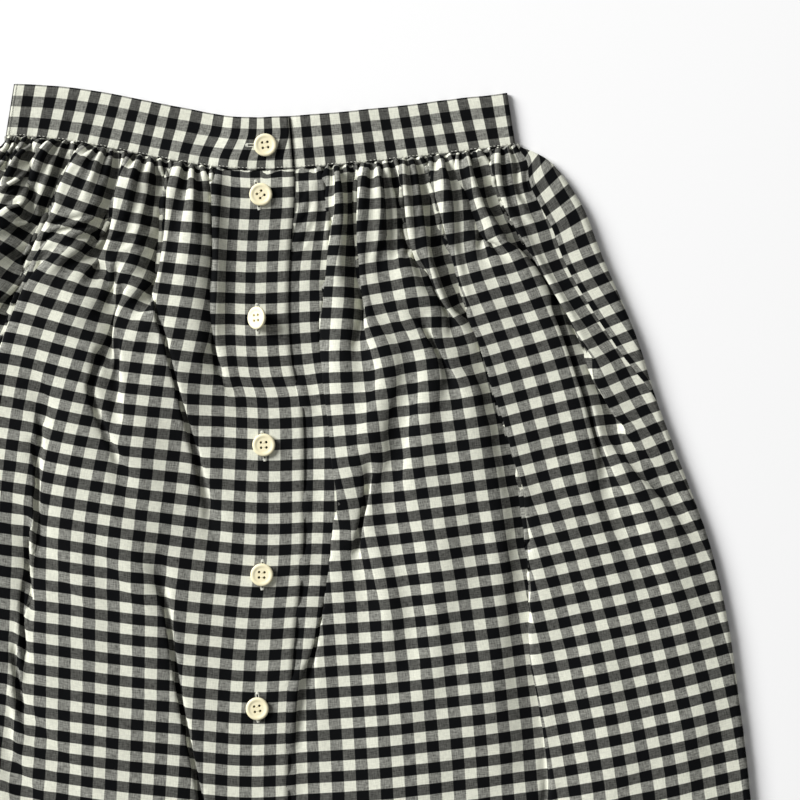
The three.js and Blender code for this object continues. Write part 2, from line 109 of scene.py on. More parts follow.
# How far in from the outline the side seam shows, by distance down the side.
SEAM_INSET = {
    1: np.array([(0, 1), (12, 8), (30, 22), (60, 26), (95, 25), (130, 20), (170, 12), (210, 5),
                 (250, 4), (725, 4)], float),
    -1: np.array([(0, 1), (12, 3), (30, 4), (725, 4)], float)}
# Height of the side roll, by distance down the side.
SIDE_HEIGHT = np.array([(0, 4.6), (40, 7), (150, 7.5), (300, 7), (725, 5.6)], float)

# Valleys where the gathered cloth goes down and comes up again. Each has a slope (how far the cloth
# sinks towards it on its left, and over what reach) and rows of (down, across, cloth taken up).
VALLEYS = {
    1: [
        (2.5, 8, [(0, 40, 7), (20, 44, 9), (45, 46.5, 10), (80, 44, 10), (110, 41, 11), (140, 43, 12),
                  (170, 47, 11), (218, 49, 8), (257, 45, 5), (317, 37, 3), (350, 33, 2), (410, 33, 1),
                  (470, 34, 0)]),
        (8, 17, [(0, 64, 12), (40, 65, 15), (70, 68, 14), (84, 70, 11), (97, 70, 7), (116, 66, 0)]),
        (7, 19, [(0, 91, 8), (13, 93, 10), (50, 99, 12), (67, 109, 10), (90, 121, 5), (112, 133, 0)]),
        (9, 23, [(0, 112, 12), (20, 116, 13), (46, 124, 14), (68, 130, 13), (92, 139, 12), (114, 147, 14),
                 (142, 155, 15), (198, 171, 13), (257, 178, 9), (337, 182, 6), (409, 191, 3),
                 (470, 198, 0)]),
        (4, 12, [(0, 131, 9), (20, 138, 10), (40, 147, 8), (58, 156, 0)]),
        (9, 20, [(0, 153, 12), (21, 161, 15), (39, 173, 16), (57, 183.5, 16), (85, 201, 14), (115, 215, 11),
                 (140, 225, 7), (165, 235, 3), (190, 244, 0)]),
        (1, 5, [(88, 190, 0), (103, 195, 3), (120, 201, 4), (150, 211, 4), (182, 220, 3), (218, 226, 2),
                (250, 230, 0)]),
        (0.5, 5, [(96, 104, 0), (108, 110, 3), (123, 118, 4), (136, 124, 3), (148, 130, 0)]),
        (-1.5, 6, [(180, 77, 0), (205, 72, 3), (226, 68, 5), (243, 63, 4), (258, 60, 0)]),
    ],
    -1: [
        (4, 12, [(0, 33, 7), (24, 31, 12), (50, 29.5, 13), (80, 29, 11), (105, 28.5, 7), (140, 28, 0)]),
        (8, 18, [(0, 60, 13), (24, 62.5, 17), (44, 63, 17), (67, 64.5, 13), (80, 67, 7), (92, 69, 0)]),
        (7, 20, [(0, 92, 11), (24, 96, 15), (44, 99.5, 15), (60, 100, 11), (81, 95.5, 8), (100, 95.5, 7),
                 (122, 95, 7), (150, 94, 4), (180, 93, 0)]),
        (9, 24, [(0, 126, 13), (27, 137, 18), (44, 142.5, 19), (78, 156.5, 19), (100, 165, 18),
                 (120, 172, 15), (150, 184, 11), (190, 198, 6), (240, 210, 0)]),
        (4, 12, [(-12, 152, 10), (0, 150, 10), (20, 149, 9), (40, 149, 5), (56, 150, 0)]),
        (7, 20, [(0, 164, 11), (40, 181, 15), (80, 200, 16), (120, 217, 13), (170, 235, 8), (230, 252, 0)]),
        (-1, 6, [(76, 69, 0), (94, 67, 6), (112, 63, 8), (135, 59, 9), (157, 54, 9), (200, 44, 6),
                 (250, 36, 0)]),
        (1, 9, [(100, 122, 0), (117, 108, 4), (135, 112, 5), (150, 107, 5), (170, 97, 4), (210, 84, 0)]),
        (0.5, 8, [(250, 70, 0), (277, 64, 4), (337, 54, 5), (409, 38, 4), (470, 33, 0)]),
        (0.5, 9, [(150, 142, 0), (190, 146, 6), (250, 152, 7), (330, 160, 5), (420, 168, 0)]),
    ]}
# Broad soft swells of the lower skirt: lift, reach, three places across, three distances down.
SWELLS = [
    (3, 12, (83, 82, 68), (100, 140, 200)),
    (1.8, 22, (105, 112, 120), (110, 200, 330)),
    (2.0, 24, (90, 96, 100), (400, 530, 700)),
    (-1.6, 22, (140, 150, 152), (380, 520, 700)),
    (2.2, 26, (230, 244, 250), (300, 480, 690)),
    (2.4, 20, (262, 272, 280), (170, 260, 420)),
    (2.2, 18, (-84, -80, -60), (150, 250, 360)),
    (2.0, 24, (-122, -116, -120), (100, 180, 300)),
    (-1.6, 20, (-190, -206, -214), (170, 330, 520)),
    (2.0, 26, (-110, -118, -124), (390, 520, 700)),
    (1.6, 24, (-240, -252, -256), (300, 420, 600)),
]
# How much of its full width the cloth between the valleys keeps, by distance down the cloth.
SPREAD = np.array([(0, 0.46), (8, 0.62), (20, 0.80), (40, 0.91), (70, 0.955), (140, 0.975),
                   (300, 0.99), (725, 0.995)], float)
# Height of the cloth between the valleys, by distance down the cloth.
CREST = np.array([(0, 5.4), (5, 9.4), (12, 12.0), (24, 13.2), (60, 13.5), (110, 12.8), (170, 11.0),
                  (240, 9.2), (330, 7.8), (450, 6.5), (725, 5.2)], float)

# Height of the overlapping front under the buttons, by distance down the cloth.
LAP_HEIGHT = np.array([(0, 5.5), (8, 6.9), (14, 7.25), (26, 7.0), (50, 6.2), (85, 5.7), (110, 5.6),
                       (725, 5.55)], float)
UNDERLAP_DROP = 0.65

# Each button's turn and lean in degrees, and its buttonhole's place beside it and turn.
BUTTONS = [
    ("button_1", 8, 0, (-3.0, 0.0), 90), ("button_2", 38, 0, (-2.2, -0.1), -7),
    ("button_3", 4, -38, (0.2, -0.3), -2), ("button_4", 3, 0, (-0.2, -0.7), -6),
    ("button_5", -2, 0, (0.4, -0.1), 1), ("button_6", 9, 0, (0.3, 0.8), -2),
    ("button_7", 12, 0, (0.2, 0.5), -2), ("button_8", -9, 0, (-0.3, -0.2), 3),
    ("button_9", 3, 0, (0.1, 0.4), 0)]


def smooth(lo, hi, v):
    t = np.clip((np.asarray(v, float) - lo) / (hi - lo), 0, 1)
    return t * t * (3 - 2 * t)


def table(rows, v):
    """A smooth curve through a two-column table."""
    x, y = rows[:, 0], rows[:, 1]
    v = np.clip(np.asarray(v, float), x[0], x[-1])
    i = np.clip(np.searchsorted(x, v, side="right") - 1, 0, len(x) - 2)
    slope = np.empty(len(x))
    slope[1:-1] = (y[2:] - y[:-2]) / (x[2:] - x[:-2])
    slope[0] = (y[1] - y[0]) / (x[1] - x[0])
    slope[-1] = (y[-1] - y[-2]) / (x[-1] - x[-2])
    h = x[i + 1] - x[i]
    t = (v - x[i]) / h
    return ((1 + 2 * t) * (1 - t) ** 2 * y[i] + t * (1 - t) ** 2 * h * slope[i]
            + t * t * (3 - 2 * t) * y[i + 1] + t * t * (t - 1) * h * slope[i + 1])


def seam_rise(x):
    """How far the waist seam rises above its centre."""
    t = np.clip(np.abs(x) / BAND_HALF, 0, 1)
    return np.where(x < 0, SEAM_RISE_LEFT * t * t * (3 - 2 * t), SEAM_RISE_RIGHT * t ** 1.35)


def waves(seed, x, y, scale, octaves=3):
    """Smooth, repeatable unevenness about -1 to 1 from a few sines."""
    rng = np.random.default_rng(seed)
    total = np.zeros(np.broadcast(x, y).shape)
    for k in range(octaves):
        for _ in range(4):
            angle, phase = rng.uniform(0, math.tau, 2)
            f = math.tau / (scale * rng.uniform(0.7, 1.4)) * 1.8 ** k
            total += np.sin(f * (x * math.cos(angle) + y * math.sin(angle)) + phase) / 1.7 ** k
    return total / 4


# ---- plan of the laid cloth -------------------------------------------------------------------
def row_places():
    """Distances down the cloth of the rows."""
    return np.concatenate([np.arange(0, 66, 2.2), np.arange(66, 210, 3.0),
                           np.arange(210, 435, 4.5), np.linspace(435, SKIRT_LENGTH, 49)])


def edge_curve(side, down_side):
    """Places across and outward directions of the outline at distances measured along the side."""
    down = np.linspace(-float(seam_rise(np.array(side * BAND_HALF))), 760, 3000)
    x = table(OUTLINE, down)
    run = np.concatenate([[0], np.cumsum(np.hypot(np.diff(x), np.diff(down)))])
    at_down = np.interp(down_side, run, down)
    at_x = np.interp(down_side, run, x)
    tx = np.gradient(at_x, down_side)
    ty = np.gradient(at_down, down_side)
    norm = np.hypot(tx, ty)
    return at_x, ty / norm, tx / norm


def valley_rows(side):
    """Each valley's place across and cloth taken up, by distance down the cloth."""
    rows = []
    for slope, reach, points in VALLEYS[side]:
        down, across, take = np.array(points, float).T
        run = np.concatenate([[0], np.cumsum(np.hypot(np.diff(down), np.diff(across)))])
        v = down[0] + float(seam_rise(side * across[0])) + run
        rows.append((slope, reach, np.stack([v, across], -1), np.stack([v, take], -1)))
    return rows


def flat_reach(side, v):
    """How far from the centre front the cloth beside the placket lies flat."""
    return LAP + (8 * (1 - smooth(170, 250, v)) if side > 0 else 0)


def folded_row(side, v, end_x, w):
    """Cloth width, place across, drop below the crests, width kept and closeness to a valley.

    Near the waist the whole panel lies in front. Lower down only the cloth that the folds need does,
    and the rest turns under the side."""
    flat = float(flat_reach(side, v))
    found = []
    for slope, reach, across, take in valley_rows(side):
        amount = float(table(take, v)) if v <= take[-1, 0] and (v >= take[0, 0] or take[0, 1] > 0) else 0
        if amount > 0.05:
            found.append((float(table(across, v)), amount, slope, reach))
    found.sort()
    total = sum(f[1] for f in found) + 1e-6
    spread = float(table(SPREAD, v))
    needed = min(PANEL_HALF, flat + (end_x - flat + total) / spread)
    share = float(smooth(*((230, 480) if side > 0 else (60, 160)), v))
    half_width = PANEL_HALF + (needed - PANEL_HALF) * share
    free = half_width - flat
    wanted = spread * free - (end_x - flat)
    scale = np.clip(wanted / total, 0, 1.35)
    keep = (end_x - flat + scale * total) / free
    step = 0.25
    fine = np.arange(flat, half_width + step, step)
    c = np.full(len(fine), keep)
    drop, bent = np.zeros((2, len(fine)))
    zones = []
    before = 0.0
    for x_i, amount, slope, reach in found:
        take = amount * scale
        w_i = flat + (x_i - flat + before + take / 2) / keep
        before += take
        half = max(5.5, take / 1.75 / keep)
        u = (fine - w_i) / half
        c -= np.where(np.abs(u) < 1, take / half * 0.5 * (1 - 0.3 * np.cos(math.tau * u)), 0)
        bent = np.maximum(bent, smooth(1.5, 1.05, np.abs(u)) * smooth(0, 4, take))
        zones.append((w_i, half, slope * min(1.0, take / 9) * (1 + 0.75 * math.exp(-v / 110)), reach))
    c = np.clip(c, -0.3, 1)
    steep = np.sqrt(np.maximum(0, keep * keep - c * c))
    for w_i, half, slope, reach in zones:
        left = (w_i - fine) * side
        inside = np.abs(left) < half
        run = np.cumsum(np.where(inside, steep, 0)) * step
        run = run if side < 0 else run[-1] - run
        slope = min(slope, 0.9 * run.max())
        turn = (run.max() + slope) / 2
        drop += np.where(run < turn, -run, run - 2 * turn) * (left < half)
        drop -= np.where(left >= half, slope * np.clip(1 - (left - half) / reach, 0, 1), 0)
    x = flat + np.concatenate([[0], np.cumsum(0.5 * (c[1:] + c[:-1])) * step])
    x += (end_x - x[-1]) * (fine - flat) / free
    cloth = np.where(w < LAP, w, LAP + (w - LAP) * (half_width - LAP) / (PANEL_HALF - LAP))
    return (cloth, np.where(cloth < flat, cloth, np.interp(cloth, fine, x)),
            np.interp(cloth, fine, drop, left=0), keep, np.interp(cloth, fine, bent, left=0))


def panel_plan(side, w, v):
    """Cloth width, place, drop and so on of the grid w (across, outwards) by v (down the cloth)."""
    W, V = np.meshgrid(w, v)
    ox, nx, _ = edge_curve(side, v)
    end_x = ox - table(SEAM_INSET[side], v) * nx
    rows = [folded_row(side, at, end, w) for at, end in zip(v, end_x)]
    cloth, x, drop, keep, bent = (np.array([row[k] for row in rows]) for k in range(5))
    x += table(LAP_SHIFT, V) * side * np.exp(-(np.maximum(0, np.abs(W) - 25) / 45) ** 2)
    x_v = np.gradient(x, v, axis=0)
    y_v = -np.sqrt(1 - np.clip(x_v, -0.9, 0.9) ** 2)
    step = np.diff(v)[:, None]
    y = np.zeros_like(x)
    y[0] = seam_rise(side * x[0])
    y[1:] = y[0] + np.cumsum(0.5 * (y_v[1:] + y_v[:-1]) * step, axis=0)
    return cloth, side * x, y, drop, keep[:, None], bent


def swells(x, y):
    """Lift of the broad swells."""
    down = -y
    lift = np.zeros_like(x)
    for height, reach, (x1, x2, x3), (d1, d2, d3) in SWELLS:
        fade = 0.22 * (d3 - d1)
        d = np.clip(down, d1 - fade, d3 + fade)
        centre = ((d - d2) * (d - d3) / ((d1 - d2) * (d1 - d3)) * x1
                  + (d - d1) * (d - d3) / ((d2 - d1) * (d2 - d3)) * x2
                  + (d - d1) * (d - d2) / ((d3 - d1) * (d3 - d2)) * x3)
        rise = smooth(d1 - fade, d1 + fade, down)
        fall = 1 - smooth(d3 - fade, d3 + fade, down)
        lift = lift + height * rise * fall * np.exp(-((x - centre) / reach) ** 2)
    return lift


# ---- relaxing the cloth -----------------------------------------------------------------------
def relax(P, U, V, pinned, floor, shrink, firm, steps):
    """Settles a grid of cloth: threads keep their length, bends open out, and it lies on the floor.

    Short spans keep the threads' length. Longer ones only push apart, so they flatten wrinkles, and
    the longest do so where the cloth is firm, away from the placed valleys."""
    P = P.astype(np.float32)
    laid = P.copy()
    R, C = P.shape[:2]
    groups = []

    def add(dr, dc, stiff, opens_only=False, weights=None):
        """Pairs (r, c)-(r+dr, c+dc), in classes that share no point."""
        cols_a = slice(-dc, C) if dc < 0 else slice(0, C - dc)
        cols_b = slice(0, C + dc) if dc < 0 else slice(dc, C)
        for k in range(2 * max(dr, abs(dc)) if not dr else 2 * dr):
            if dr:
                a = (slice(k, R - dr, 2 * dr), cols_a)
                b = (slice(k + dr, R, 2 * dr), cols_b)
            else:
                a = (slice(0, R), slice(k, C - dc, 2 * dc))
                b = (slice(0, R), slice(k + dc, C, 2 * dc))
            across = (U[a] - U[b]) * 0.5 * (shrink[a] + shrink[b])
            rest = np.hypot(across, V[a] - V[b]).astype(np.float32)
            weight = np.full(rest.shape, 0.5 * stiff, np.float32)
            if weights is not None:
                weight *= np.minimum(weights[a], weights[b]).astype(np.float32)
            groups.append((a, b, rest, weight, opens_only))

    add(0, 1, 0.95)
    add(1, 0, 0.95)
    add(1, 1, 0.5)
    add(1, -1, 0.5)
    add(0, 2, 0.22, True)
    add(2, 0, 0.22, True)
    for dr, dc in ((0, 5), (5, 0), (3, 3), (3, -3)):
        add(dr, dc, 0.3, True, firm)
    hold = np.full(P.shape, 0.0015, np.float32)
    hold[..., 2] = 0.008 + 0.03 * (1 - smooth(60, 150, V))
    for _ in range(steps):
        P += hold * (laid - P)
        for a, b, rest, weight, opens_only in groups:
            d = P[b] - P[a]
            length = np.sqrt(np.einsum("ijk,ijk->ij", d, d)) + np.float32(1e-6)
            c = (length - rest) / length * weight
            if opens_only:
                c = np.minimum(c, 0)
            d *= c[..., None]
            P[a] += d
            P[b] -= d
        P[..., 2] = np.clip(P[..., 2], floor, CEILING)
        P[pinned] = laid[pinned]
    share = (0.5 * firm * ~pinned)[1:-1, 1:-1].astype(np.float32)
    Z = P[..., 2]
    for _ in range(SMOOTHING_PASSES):
        near = (Z[:-2, 1:-1] + Z[2:, 1:-1] + Z[1:-1, :-2] + Z[1:-1, 2:]) / 4
        Z[1:-1, 1:-1] += share * (near - Z[1:-1, 1:-1])
    return P.astype(float)


def lap_end(side):
    return UNDERLAP_END if side > 0 else OVERLAP_END


def across_places(side):
    """Cloth distances of the columns, from the lap's end to the side."""
    lap = np.linspace(lap_end(side), LAP, LAP_COLUMNS + 1)[:-1]
    return np.concatenate([lap, np.linspace(LAP, PANEL_HALF, PANEL_COLUMNS)])


def front_panel(side):
    """Lays one front in its folds, adds the gathers, and lets the cloth settle."""
    w, v = across_places(side), row_places()
    W, V = np.meshgrid(w, v)
    cloth, x, y, drop, keep, bent = panel_plan(side, w, v)
    lap_z = table(LAP_HEIGHT, V) - (UNDERLAP_DROP if side > 0 else 0)
    lap = 1 - smooth(20, 34, W)
    near_side = smooth(PANEL_HALF - SIDE_BLEND, PANEL_HALF, W)
    edge_z = table(SIDE_HEIGHT, V)
    phase = 1.3 * waves(5 + side, W, V * 0.15, 90) + 1.5 * waves(21 + side, W, V * 0.12, 34)
    height = GATHER / math.tau * np.sqrt(2 * np.maximum(0, 1 - keep ** 2))
    gather = np.cos(math.tau * W / GATHER + phase) * height * np.exp(-(V / 46) ** 2)
    wide = 1.35 * np.cos(math.tau * W / (2.6 * GATHER) + 1.4 * phase) * height
    gather += wide * smooth(4, 24, V) * np.exp(-(V / 88) ** 2)
    gather *= 0.8 + 0.45 * waves(9 + side, W, V * 0.2, 45)
    crest = table(CREST, V) + swells(x, y) + 0.7 * waves(40 + side, x, y, 90)
    z = crest * (1 - near_side) + edge_z * near_side + gather * (1 - near_side)
    if side > 0:
        strip = smooth(41, 54 + 46 * smooth(200, 320, V), np.abs(x))
        drop = drop * (0.5 + 0.5 * smooth(50, 62, np.abs(x)))
    else:
        strip = smooth(20, 34 + 60 * smooth(90, 200, V), np.abs(x))
    z = z * strip + (lap_z + 0.4 * (1 - lap)) * (1 - strip) + drop * (1 - near_side)
    P = np.stack([x, y, z], axis=-1)
    floor = lap_z * lap + (1.2 + 2.6 * np.exp(-V / 45)) * (1 - lap)
    P[..., 2] = np.maximum(P[..., 2], floor + 0.05)
    shrink = 1 / (1 + 0.25 * np.exp(-V / 9))
    firm = (1 - bent) * smooth(50, 150, V) * smooth(22, 40, W)
    lapped = W < PINNED
    pinned = lapped.copy()
    pinned[[0, -1]] = True
    pinned[:, [0, -1]] = True
    flat = np.stack([x, y, np.where(lapped, lap_z, edge_z)], axis=-1)
    P[:, -1] = flat[:, -1]
    P[-1, :, 2] = np.maximum(P[-1, :, 2], 1.3)
    P[lapped] = flat[lapped]
    P[0, :, 2] = np.where(lapped[0], lap_z[0], 4.3 + 0.6 * gather[0])
    P[0, :, 1] += np.where(W[0] < LAP, 0, 0.35 * np.maximum(0, gather[0]))
    steps = RELAX_STEPS
    P = relax(P, cloth, V, pinned, floor.astype(np.float32), shrink, firm, steps)
    return P, side * cloth, V


# ---- meshes -----------------------------------------------------------------------------------
def to_frame(P):
    """Working millimetres to the frame's metres."""
    Q = P * MM
    Q[..., 1] += SHIFT_Y * MM
    return Q


def grid_normals(P):
    du = np.gradient(P, axis=1)
    dv = np.gradient(P, axis=0)
    n = np.cross(du, dv)
    n /= np.linalg.norm(n, axis=-1, keepdims=True) + 1e-9
    return n


def link_object(name, data):
    obj = bpy.data.objects.new(name, data)
    bpy.context.collection.objects.link(obj)
    return obj


def add_object(name, verts, faces, *materials):
    """A smooth-shaded mesh object from lists of vertices and faces."""
    mesh = bpy.data.meshes.new(name)
    mesh.from_pydata(verts, [], faces)
    mesh.polygons.foreach_set("use_smooth", np.ones(len(mesh.polygons), bool))
    for material in materials:
        mesh.materials.append(material)
    return link_object(name, mesh)


def shell(name, P, UV, thick, material, upward=1, columns=slice(None)):
    """A closed thin shell under a grid of points; its outer face looks up (or down) in those columns."""
    n = grid_normals(P)
    if n[:, columns, 2].mean() * upward < 0:
        n = -n
    R, C = P.shape[:2]
    outer = to_frame(P.copy()).reshape(-1, 3)
    inner = to_frame(P - n * thick).reshape(-1, 3)
    verts = np.concatenate([outer, inner])
    idx = np.arange(R * C).reshape(R, C)
    a, b, c, d = idx[:-1, :-1], idx[:-1, 1:], idx[1:, 1:], idx[1:, :-1]
    front = np.stack([a, b, c, d], -1).reshape(-1, 4)
    back = front[:, ::-1] + R * C
    rims = []
    for line, flip in ((idx[0], True), (idx[-1], False), (idx[:, 0], False), (idx[:, -1], True)):
        p, q = line[:-1], line[1:]
        quad = np.stack([p, q, q + R * C, p + R * C], -1)
        rims.append(quad[:, ::-1] if flip else quad)
    faces = np.concatenate([front, back] + rims)
    corner = verts[front]
    turn = np.cross(corner[:, 1] - corner[:, 0], corner[:, 2] - corner[:, 0])
    if (turn * n[:-1, :-1].reshape(-1, 3)).sum() < 0:
        faces = faces[:, ::-1]
    mesh = bpy.data.meshes.new(name)
    mesh.vertices.add(len(verts))
    mesh.vertices.foreach_set("co", verts.astype(np.float32).ravel())
    mesh.loops.add(faces.size)
    mesh.loops.foreach_set("vertex_index", faces.astype(np.int32).ravel())
    mesh.polygons.add(len(faces))
    mesh.polygons.foreach_set("loop_start", np.arange(0, faces.size, 4, dtype=np.int32))
    mesh.polygons.foreach_set("loop_total", np.full(len(faces), 4, np.int32))
    uv = mesh.uv_layers.new(name="cloth")
    flat = np.concatenate([UV.reshape(-1, 2)] * 2) * 0.01
    uv.data.foreach_set("uv", flat[faces.ravel()].astype(np.float32).ravel())
    mesh.polygons.foreach_set("use_smooth", np.ones(len(faces), bool))
    mesh.update()
    mesh.validate()
    mesh.materials.append(material)
    return link_object(name, mesh)


# ---- materials --------------------------------------------------------------------------------
class Nodes:
    """Small helper to wire a material's nodes."""

    def __init__(self, name):
        self.material = bpy.data.materials.new(name)
        self.material.use_nodes = True
        self.tree = self.material.node_tree
        self.bsdf = next(n for n in self.tree.nodes if n.type == "BSDF_PRINCIPLED")

    def make(self, kind, **values):
        node = self.tree.nodes.new(kind)
        for key, value in values.items():
            setattr(node, key, value)
        return node

    def link(self, a, b):
        self.tree.links.new(a, b)

    def put(self, socket, value):
        if isinstance(value, bpy.types.NodeSocket):
            self.link(value, socket)
        else:
            socket.default_value = value

    def math(self, operation, a, b=0.0, c=0.0, clamp=False):
        node = self.make("ShaderNodeMath", operation=operation, use_clamp=clamp)
        for socket, value in zip(node.inputs, (a, b, c)):
            self.put(socket, value)
        return node.outputs[0]

    def mix(self, factor, a, b):
        node = self.make("ShaderNodeMix", data_type="RGBA")
        self.put(node.inputs[0], factor)
        self.put(node.inputs[6], a)
        self.put(node.inputs[7], b)
        return node.outputs[2]

    def noise(self, vector, scale, detail=2.0, rough=0.5):
        node = self.make("ShaderNodeTexNoise")
        self.put(node.inputs["Vector"], vector)
        node.inputs["Scale"].default_value = scale
        node.inputs["Detail"].default_value = detail
        node.inputs["Roughness"].default_value = rough
        return node.outputs["Fac"]

    def streaks(self, vector, scale):
        """Noise drawn out along one direction, for uneven yarns."""
        stretch = self.make("ShaderNodeMapping")
        stretch.inputs["Scale"].default_value = (*scale, 1.0)
        self.link(vector, stretch.inputs[0])
        return self.noise(stretch.outputs[0], 1.0, 2.0)

    def bump(self, height, distance, strength=0.35):
        node = self.make("ShaderNodeBump")
        node.inputs["Strength"].default_value = strength
        node.inputs["Distance"].default_value = distance
        self.link(height, node.inputs["Height"])
        self.link(node.outputs[0], self.bsdf.inputs["Normal"])


def stripe(n, coordinate, pitch):
    """1 on the light yarns and 0 on the dark ones of a stripe that repeats every pitch."""
    t = n.math("FRACT", n.math("DIVIDE", coordinate, pitch))
    tri = n.math("ABSOLUTE", n.math("SUBTRACT", t, 0.5))
    past_edge = n.math("SUBTRACT", tri, DARK_SHARE / 2)
    return n.math("MULTIPLY_ADD", past_edge, 1 / (2 * STRIPE_EDGE), 0.5, clamp=True)


def gingham(name, pitch_u, pitch_v, weft_along_v=True):
    """Yarn-dyed check. u and v are cloth millimetres / 100; the rows are the stronger stripe."""
    n = Nodes(name)
    uv = n.make("ShaderNodeUVMap", uv_map="cloth")
    split = n.make("ShaderNodeSeparateXYZ")
    n.link(uv.outputs[0], split.inputs[0])
    u = n.math("MULTIPLY", split.outputs[0], 100.0)
    v = n.math("MULTIPLY", split.outputs[1], 100.0)
    wobble = n.noise(uv.outputs[0], 9.0, 3.0)
    shift = n.math("MULTIPLY", n.math("SUBTRACT", wobble, 0.5), 0.35)
    su = stripe(n, n.math("ADD", u, shift), pitch_u)
    sv = stripe(n, n.math("ADD", v, shift), pitch_v)
    warp, weft = (su, sv) if weft_along_v else (sv, su)
    dark_row = n.mix(warp, (0.0032, 0.0036, 0.0040, 1), (0.088, 0.088, 0.079, 1))
    light_row = n.mix(warp, (0.222, 0.223, 0.198, 1), (0.745, 0.75, 0.635, 1))
    colour = n.mix(weft, dark_row, light_row)
    # yarns: slubby streaks along both directions, and the over-and-under of a plain weave
    streak = n.math("ADD", n.streaks(uv.outputs[0], (140.0, 22.0)),
                    n.streaks(uv.outputs[0], (22.0, 140.0)))
    mixed = n.math("ABSOLUTE", n.math("SUBTRACT", warp, weft))
    depth = n.math("MULTIPLY_ADD", mixed, 1.5, 0.4)
    gain = n.math("MULTIPLY_ADD", n.math("SUBTRACT", streak, 1.0), depth, 1.0)
    tu = n.math("SINE", n.math("MULTIPLY", u, math.tau / YARN_PAIR))
    tv = n.math("SINE", n.math("MULTIPLY", v, math.tau / YARN_PAIR))
    weave = n.math("MULTIPLY", tu, tv)
    gain = n.math("MULTIPLY", gain, n.math("MULTIPLY_ADD", weave, 0.10, 1.0))
    age = n.noise(uv.outputs[0], 3.2, 3.0)
    gain = n.math("MULTIPLY", gain, n.math("MULTIPLY_ADD", age, 0.10, 0.95))
    scaled = n.make("ShaderNodeVectorMath", operation="SCALE")
    n.link(colour, scaled.inputs[0])
    n.link(gain, scaled.inputs["Scale"])
    n.link(scaled.outputs[0], n.bsdf.inputs["Base Color"])
    n.bump(n.math("ADD", weave, n.math("MULTIPLY", streak, 1.5)), 0.00012)
    n.bsdf.inputs["Roughness"].default_value = 0.86
    n.bsdf.inputs["Specular IOR Level"].default_value = 0.06
    n.bsdf.inputs["Sheen Weight"].default_value = 0.015
    n.bsdf.inputs["Sheen Roughness"].default_value = 0.5
    return n.material


def ivory():
    """Resin button: warm ivory, clouded, with a soft polish."""
    n = Nodes("button_ivory")
    place = n.make("ShaderNodeTexCoord").outputs["Object"]
    cloud = n.noise(place, 420.0, 3.0)
    fine = n.noise(place, 2600.0, 2.0)
    n.link(n.mix(cloud, (0.90, 0.80, 0.50, 1), (0.93, 0.88, 0.64, 1)), n.bsdf.inputs["Base Color"])
    n.link(n.math("MULTIPLY_ADD", fine, 0.22, 0.30), n.bsdf.inputs["Roughness"])
    n.bsdf.inputs["Specular IOR Level"].default_value = 0.45
    n.bump(fine, 0.00004, 0.25)
    return n.material


def thread(name, dark, light):
    """Sewing thread: colour speckled between two tones, with a fuzzy bump."""
    n = Nodes(name)
    place = n.make("ShaderNodeTexCoord").outputs["Object"]
    fuzz = n.noise(place, 1500.0, 3.0)
    n.link(n.mix(fuzz, dark, light), n.bsdf.inputs["Base Color"])
    n.bsdf.inputs["Roughness"].default_value = 0.8
    n.bsdf.inputs["Sheen Weight"].default_value = 0.1
    n.bump(fuzz, 0.00006, 0.4)
    return n.material


GINGHAM = gingham("gingham", CHECK_ACROSS, CHECK_DOWN)
BAND_CHECK = gingham("gingham_band", BAND_CHECK_ACROSS, CHECK_DOWN, weft_along_v=False)
IVORY = ivory()
WHITE_THREAD = thread("thread_white", (0.50, 0.50, 0.42, 1), (0.82, 0.82, 0.74, 1))
BUTTON_THREAD = thread("thread_button", (0.55, 0.48, 0.30, 1), (0.80, 0.74, 0.52, 1))
# Near-black painted shade, not a thread colour: it fills the buttonhole slits and colours the thread shanks
# under the buttons.
PAINTED_SHADE = thread("painted_shade_slits_and_shanks", (0.004, 0.004, 0.004, 1), (0.012, 0.012, 0.012, 1))


# ---- sides, back and waistband ----------------------------------------------------------------
def side_frame(side, v):
    """The front's edge points, outward direction, roll radius, flat run before the roll, and how far
    round from the edge the side seam lies."""
    cloth, x, y = panel_plan(side, np.array([PANEL_HALF - 2.0, PANEL_HALF]), v)[:3]
    _, nx, ny = edge_curve(side, v)
    radius = table(SIDE_HEIGHT, v) / 2
    run = np.maximum(0.3, table(SEAM_INSET[side], v) - radius)
    seam = 0.8 + (run + radius * math.pi / 2 - 0.8) * smooth(150, 215, v)
    seam = np.maximum(seam, PANEL_HALF - cloth[:, -1])
    return np.stack([x[:, -1], y[:, -1]], -1), np.stack([side * nx, ny], -1), radius, run, seam


def wrap(edge, q):
    """Points at distance q (one per row and column) past the front's edge, round the side."""
    start, out, radius, run, _ = edge
    r = radius[:, None]
    along = q - run[:, None]
    angle = np.clip(along / r, 0, math.pi)
    reach = np.where(along < 0, q, run[:, None] + r * np.sin(angle))
    reach = reach - np.maximum(0, along - math.pi * r)
    z = r + r * np.cos(angle)
    return np.stack([start[:, None, 0] + out[:, None, 0] * reach,
                     start[:, None, 1] + out[:, None, 1] * reach, z], -1)


def with_side(P, U, V, side, v):
    """Carries the relaxed front on round the side as far as its side seam."""
    edge = side_frame(side, v)
    share = np.linspace(0, 1, SIDE_COLUMNS + 1)[1:]
    q = edge[4][:, None] * share
    extra = wrap(edge, q)
    return (np.concatenate([P, extra], 1), np.concatenate([U, U[:, -1:] + side * q], 1),
            np.concatenate([V, np.repeat(V[:, -1:], len(share), 1)], 1))


